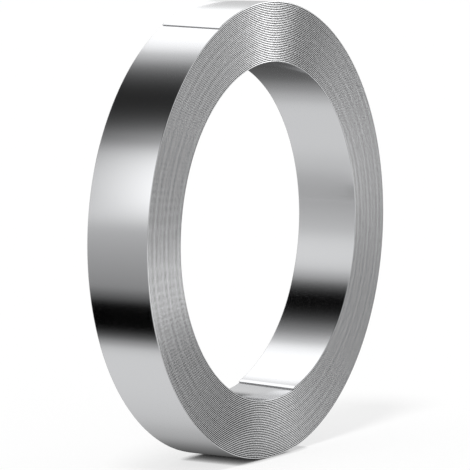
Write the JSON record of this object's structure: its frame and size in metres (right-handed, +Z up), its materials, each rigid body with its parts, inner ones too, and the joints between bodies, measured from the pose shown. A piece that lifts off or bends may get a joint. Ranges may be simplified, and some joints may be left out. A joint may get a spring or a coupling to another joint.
{
  "type": "roll of nickel strip",
  "caption": "Tight-wound roll of thin bright nickel strip for welding across battery cells, with an open bore and both cut ends showing.",
  "frame": {"origin": "centre of the bore, halfway between the roll's two wound ends", "axes": "+Y along the bore, away from the wound end that the picture shows; +Z up with the roll standing on its rim as in the picture"},
  "size_m": [0.053, 0.008, 0.053],
  "materials": {
    "nickel": "bright rolled"
  },
  "bodies": {
    "root": {"strip_coil": "nickel"}
  },
  "joints": []
}
